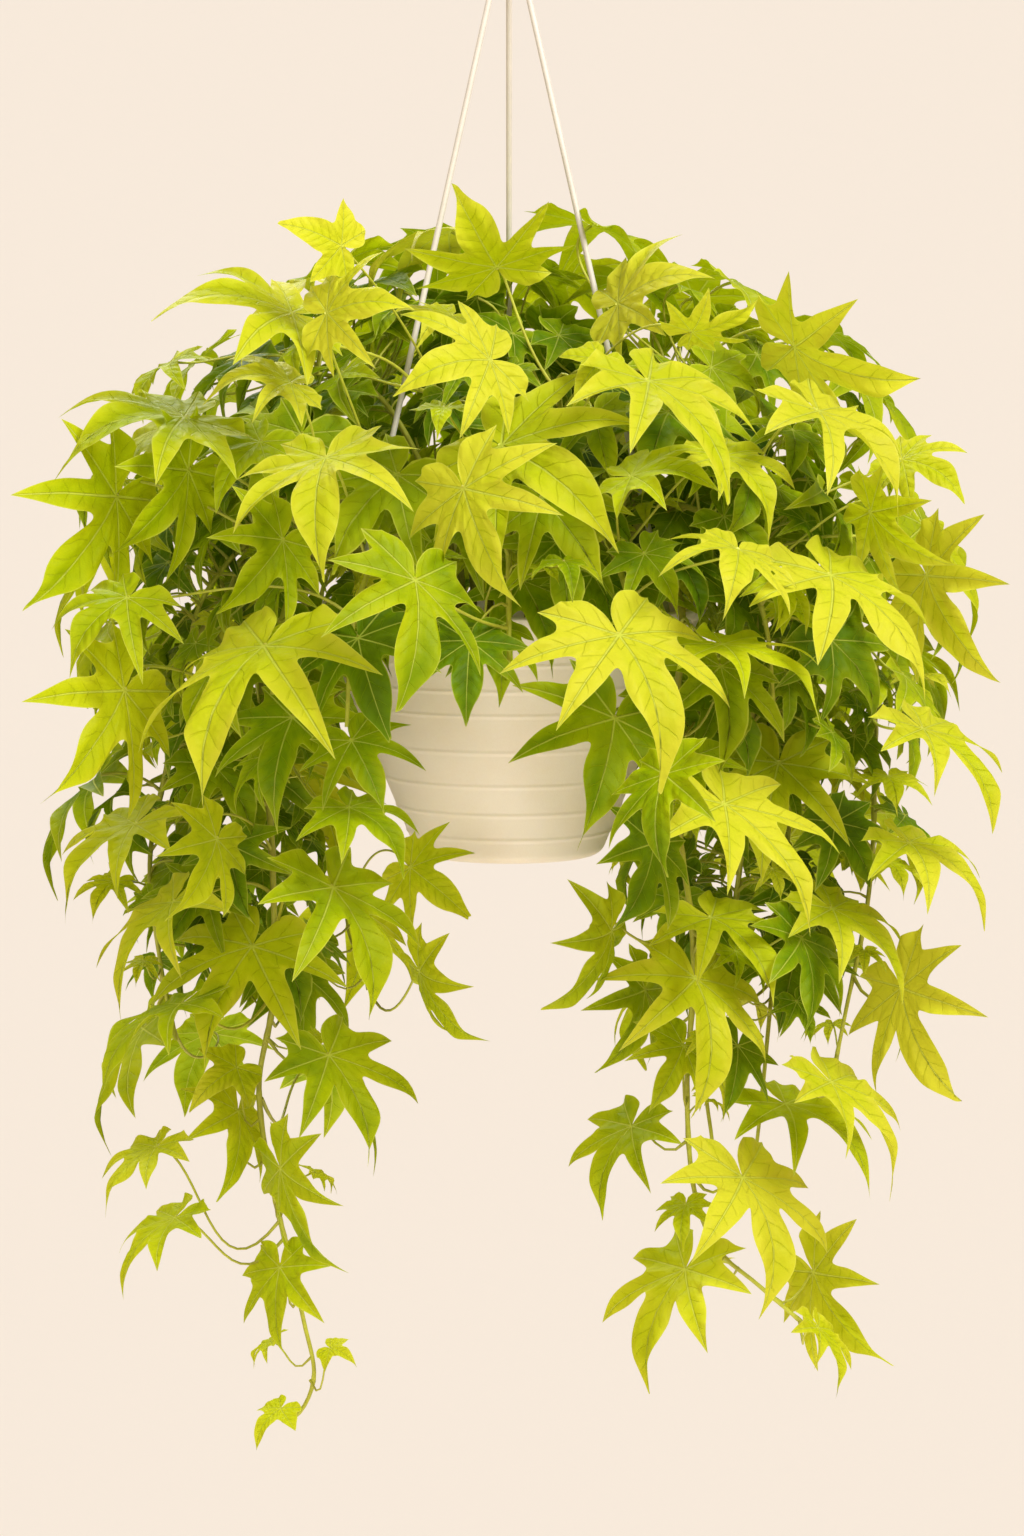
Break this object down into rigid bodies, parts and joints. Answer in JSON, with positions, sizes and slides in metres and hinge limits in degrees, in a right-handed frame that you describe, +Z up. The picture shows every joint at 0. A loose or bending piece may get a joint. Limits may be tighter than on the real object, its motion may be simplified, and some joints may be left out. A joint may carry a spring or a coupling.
{
  "type": "potted sweet potato vine in a hanging pot",
  "caption": "Trailing chartreuse sweet potato vine with lobed leaves, mounded over and cascading below a round tapered plastic pot that hangs by strands from a hook.",
  "frame": {"origin": "inside of the hook's crown, where the object hangs, on the pot's axis", "axes": "+Z up along the pot's axis, -Y towards the front of the plant, +X to its right seen from the front"},
  "size_m": [0.7345, 0.6989, 1.2396],
  "materials": {
    "hanger": "smooth off-white plastic, taut stiff strands",
    "pot": "semi-matte cream plastic with thin raised rings",
    "soil": "damp dark potting soil",
    "vine": "chartreuse leaves with paler veins on olive stems"
  },
  "bodies": {
    "root": {"hanger_hook": "hanger", "strand_back": "hanger", "strand_left": "hanger", "strand_right": "hanger", "pot": "pot", "soil": "soil", "vine_crown_1": "vine", "vine_crown_2": "vine", "vine_crown_3": "vine", "vine_crown_4": "vine", "vine_crown_5": "vine", "vine_crown_6": "vine", "vine_crown_7": "vine", "vine_shoulder_1": "vine", "vine_shoulder_2": "vine", "vine_shoulder_3": "vine", "vine_shoulder_4": "vine", "vine_shoulder_5": "vine", "vine_shoulder_6": "vine", "vine_shoulder_7": "vine", "vine_shoulder_8": "vine", "vine_shoulder_9": "vine", "vine_shoulder_10": "vine", "vine_shoulder_11": "vine", "vine_shoulder_12": "vine", "vine_left_long": "vine", "vine_left_outer": "vine", "vine_left_back": "vine", "vine_right_long": "vine", "vine_right_second": "vine", "vine_right_third": "vine", "vine_right_outer": "vine"}
  },
  "joints": []
}
